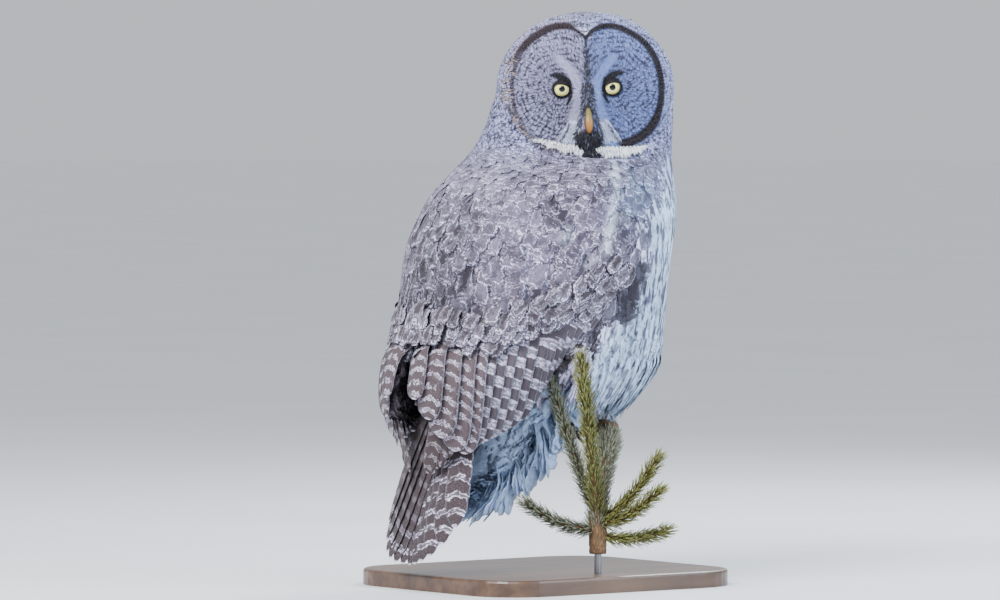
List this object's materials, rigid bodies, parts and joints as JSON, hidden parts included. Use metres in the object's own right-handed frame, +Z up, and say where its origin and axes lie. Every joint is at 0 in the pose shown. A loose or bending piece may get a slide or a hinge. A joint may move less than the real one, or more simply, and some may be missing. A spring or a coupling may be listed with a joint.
{
  "type": "great grey owl model",
  "caption": "Life-size great grey owl in grey plumage, head turned back over its shoulder, gripping a cut spruce top on a plain display stand",
  "frame": {"origin": "on the underside of the stand's base, below the middle of the two feet", "axes": "+Z is up, the bird's body faces -Y and its right side is towards -X"},
  "size_m": [0.336, 0.3719, 0.6337],
  "materials": {
    "grey_plumage": "matt",
    "pale_plumage": "matt",
    "flight_feathers": "matt",
    "face": "matt",
    "eye": "gloss",
    "bill": "satin",
    "claw": "satin",
    "foot": "matt",
    "bark": "matt",
    "stand": "satin",
    "metal": "satin"
  },
  "bodies": {
    "root": {"torso": "pale_plumage", "neck": "grey_plumage", "head": "face", "eye_left": "eye", "eye_right": "eye", "bill_upper": "bill", "bill_lower": "bill", "wing_right": "grey_plumage", "wing_left": "grey_plumage", "tail": "flight_feathers", "undertail_coverts": "pale_plumage", "leg_right": "foot", "leg_left": "foot", "foot_right": "foot", "foot_left": "foot", "claw_right_1": "claw", "claw_right_2": "claw", "claw_right_3": "claw", "claw_right_4": "claw", "claw_left_1": "claw", "claw_left_2": "claw", "claw_left_3": "claw", "claw_left_4": "claw", "perch_branch": "bark", "stand_base": "stand", "stand_rod": "metal"}
  },
  "joints": []
}
